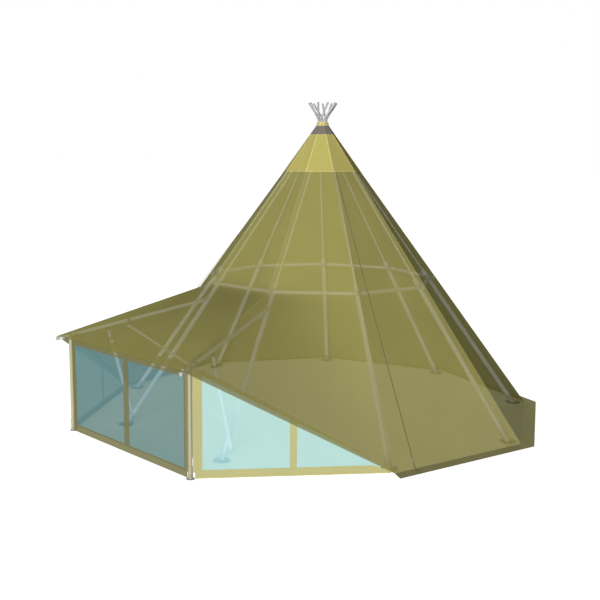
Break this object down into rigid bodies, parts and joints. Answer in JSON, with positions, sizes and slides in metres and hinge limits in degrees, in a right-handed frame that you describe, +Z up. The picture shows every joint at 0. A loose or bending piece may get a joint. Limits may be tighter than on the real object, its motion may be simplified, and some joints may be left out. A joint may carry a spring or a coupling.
{
  "type": "teepee tent",
  "caption": "Large tipi tent on telescopic aluminium poles, one side raised into a canopy over clear window walls.",
  "frame": {"origin": "on the ground, in the middle of the plan box", "axes": "+Z up, -Y towards the raised side with the front window wall, +X to its right seen from outside"},
  "size_m": [11.02, 11.7874, 7.4471],
  "materials": {
    "tube_aluminium": "satin",
    "zinc_steel": "zinc plated",
    "cover_canvas": "proofed cotton and polyester canvas",
    "cap_canvas": "proofed canvas",
    "wall_canvas": "proofed canvas",
    "vent_net": "woven net",
    "window_film": "clear film",
    "zip_tape": "coil zip",
    "vent_cord": "thin cord"
  },
  "bodies": {
    "tent": {"lower_pole_1": "tube_aluminium", "lower_pole_2": "tube_aluminium", "lower_pole_3": "tube_aluminium", "lower_pole_4": "tube_aluminium", "lower_pole_5": "tube_aluminium", "lower_pole_6": "tube_aluminium", "lower_pole_7": "tube_aluminium", "lower_pole_8": "tube_aluminium", "lower_pole_9": "tube_aluminium", "ring_tube_1": "tube_aluminium", "ring_tube_2": "tube_aluminium", "ring_tube_3": "tube_aluminium", "ring_tube_4": "tube_aluminium", "ring_tube_5": "tube_aluminium", "ring_tube_6": "tube_aluminium", "ring_tube_7": "tube_aluminium", "ring_tube_8": "tube_aluminium", "ring_tube_9": "tube_aluminium", "crown_ring": "zinc_steel", "cover_panel_12": "cover_canvas", "cover_panel_23": "cover_canvas", "cover_panel_34": "cover_canvas", "cover_panel_45": "cover_canvas", "cover_panel_56": "cover_canvas", "cover_panel_67": "cover_canvas", "cover_panel_78": "cover_canvas", "cover_panel_89": "cover_canvas", "cover_panel_91": "cover_canvas", "rafter_right": "tube_aluminium", "wall_post_right": "tube_aluminium", "rafter_left": "tube_aluminium", "wall_post_left": "tube_aluminium", "brace_tube": "tube_aluminium", "vent_net": "vent_net", "vent_cap": "cap_canvas", "window_wall_front": "wall_canvas", "window_film_front": "window_film", "window_wall_right": "wall_canvas", "window_film_right": "window_film", "window_wall_left": "wall_canvas", "window_film_left": "window_film", "zip_tape": "zip_tape", "vent_cord": "vent_cord"},
    "upper_pole_1": {"upper_pole_1": "tube_aluminium"},
    "upper_pole_2": {"upper_pole_2": "tube_aluminium"},
    "upper_pole_3": {"upper_pole_3": "tube_aluminium"},
    "upper_pole_4": {"upper_pole_4": "tube_aluminium"},
    "upper_pole_5": {"upper_pole_5": "tube_aluminium"},
    "upper_pole_6": {"upper_pole_6": "tube_aluminium"},
    "upper_pole_7": {"upper_pole_7": "tube_aluminium"},
    "upper_pole_8": {"upper_pole_8": "tube_aluminium"},
    "upper_pole_9": {"upper_pole_9": "tube_aluminium"},
    "prop_right": {"prop_tube_right": "tube_aluminium"},
    "prop_head_right": {"prop_head_right": "tube_aluminium"},
    "prop_left": {"prop_tube_left": "tube_aluminium"},
    "prop_head_left": {"prop_head_left": "tube_aluminium"},
    "post_foot_right": {"post_foot_right": "zinc_steel"},
    "post_foot_left": {"post_foot_left": "zinc_steel"},
    "zip_slider": {"zip_slider": "zinc_steel"}
  },
  "joints": [
    {"name": "upper_pole_1_slide", "type": "slide", "parent": "tent", "child": "upper_pole_1", "axis": [0.2088, 0.5437, 0.8129], "range_m": [-0.3, 0.2]},
    {"name": "upper_pole_2_slide", "type": "slide", "parent": "tent", "child": "upper_pole_2", "axis": [0.5094, 0.2823, 0.8129], "range_m": [-0.3, 0.2]},
    {"name": "upper_pole_3_slide", "type": "slide", "parent": "tent", "child": "upper_pole_3", "axis": [0.5717, -0.1112, 0.8129], "range_m": [-0.3, 0.2]},
    {"name": "upper_pole_4_slide", "type": "slide", "parent": "tent", "child": "upper_pole_4", "axis": [0.3664, -0.4527, 0.8129], "range_m": [-0.3, 0.2]},
    {"name": "upper_pole_5_slide", "type": "slide", "parent": "tent", "child": "upper_pole_5", "axis": [-0.0103, -0.5823, 0.8129], "range_m": [-0.3, 0.2]},
    {"name": "upper_pole_6_slide", "type": "slide", "parent": "tent", "child": "upper_pole_6", "axis": [-0.3822, -0.4395, 0.8129], "range_m": [-0.3, 0.2]},
    {"name": "upper_pole_7_slide", "type": "slide", "parent": "tent", "child": "upper_pole_7", "axis": [-0.5752, -0.091, 0.8129], "range_m": [-0.3, 0.2]},
    {"name": "upper_pole_8_slide", "type": "slide", "parent": "tent", "child": "upper_pole_8", "axis": [-0.4992, 0.3, 0.8129], "range_m": [-0.3, 0.2]},
    {"name": "upper_pole_9_slide", "type": "slide", "parent": "tent", "child": "upper_pole_9", "axis": [-0.1895, 0.5507, 0.8129], "range_m": [-0.3, 0.2]},
    {"name": "prop_right_swing", "type": "hinge", "parent": "tent", "child": "prop_right", "pos_m": [1.76834, -4.18793, 0.25], "axis": [0.9397, 0.342, 0], "range_deg": [0, 14]},
    {"name": "prop_head_right_slide", "type": "slide", "parent": "prop_right", "child": "prop_head_right", "axis": [0.0403, -0.2631, 0.9639], "range_m": [-0.2, 0]},
    {"name": "prop_left_swing", "type": "hinge", "parent": "tent", "child": "prop_left", "pos_m": [-1.76241, -4.19009, 0.25], "axis": [0.9397, -0.342, 0], "range_deg": [0, 14]},
    {"name": "prop_head_left_slide", "type": "slide", "parent": "prop_left", "child": "prop_head_left", "axis": [-0.0332, -0.2656, 0.9635], "range_m": [-0.2, 0]},
    {"name": "post_foot_right_slide", "type": "slide", "parent": "tent", "child": "post_foot_right", "axis": [0, 0, 1], "range_m": [-0.08, 0.09]},
    {"name": "post_foot_left_slide", "type": "slide", "parent": "tent", "child": "post_foot_left", "axis": [0, 0, 1], "range_m": [-0.08, 0.09]},
    {"name": "zip_slider_slide", "type": "slide", "parent": "tent", "child": "zip_slider", "axis": [-0.5361, 0.2365, 0.8103], "range_m": [0, 2.4]}
  ]
}
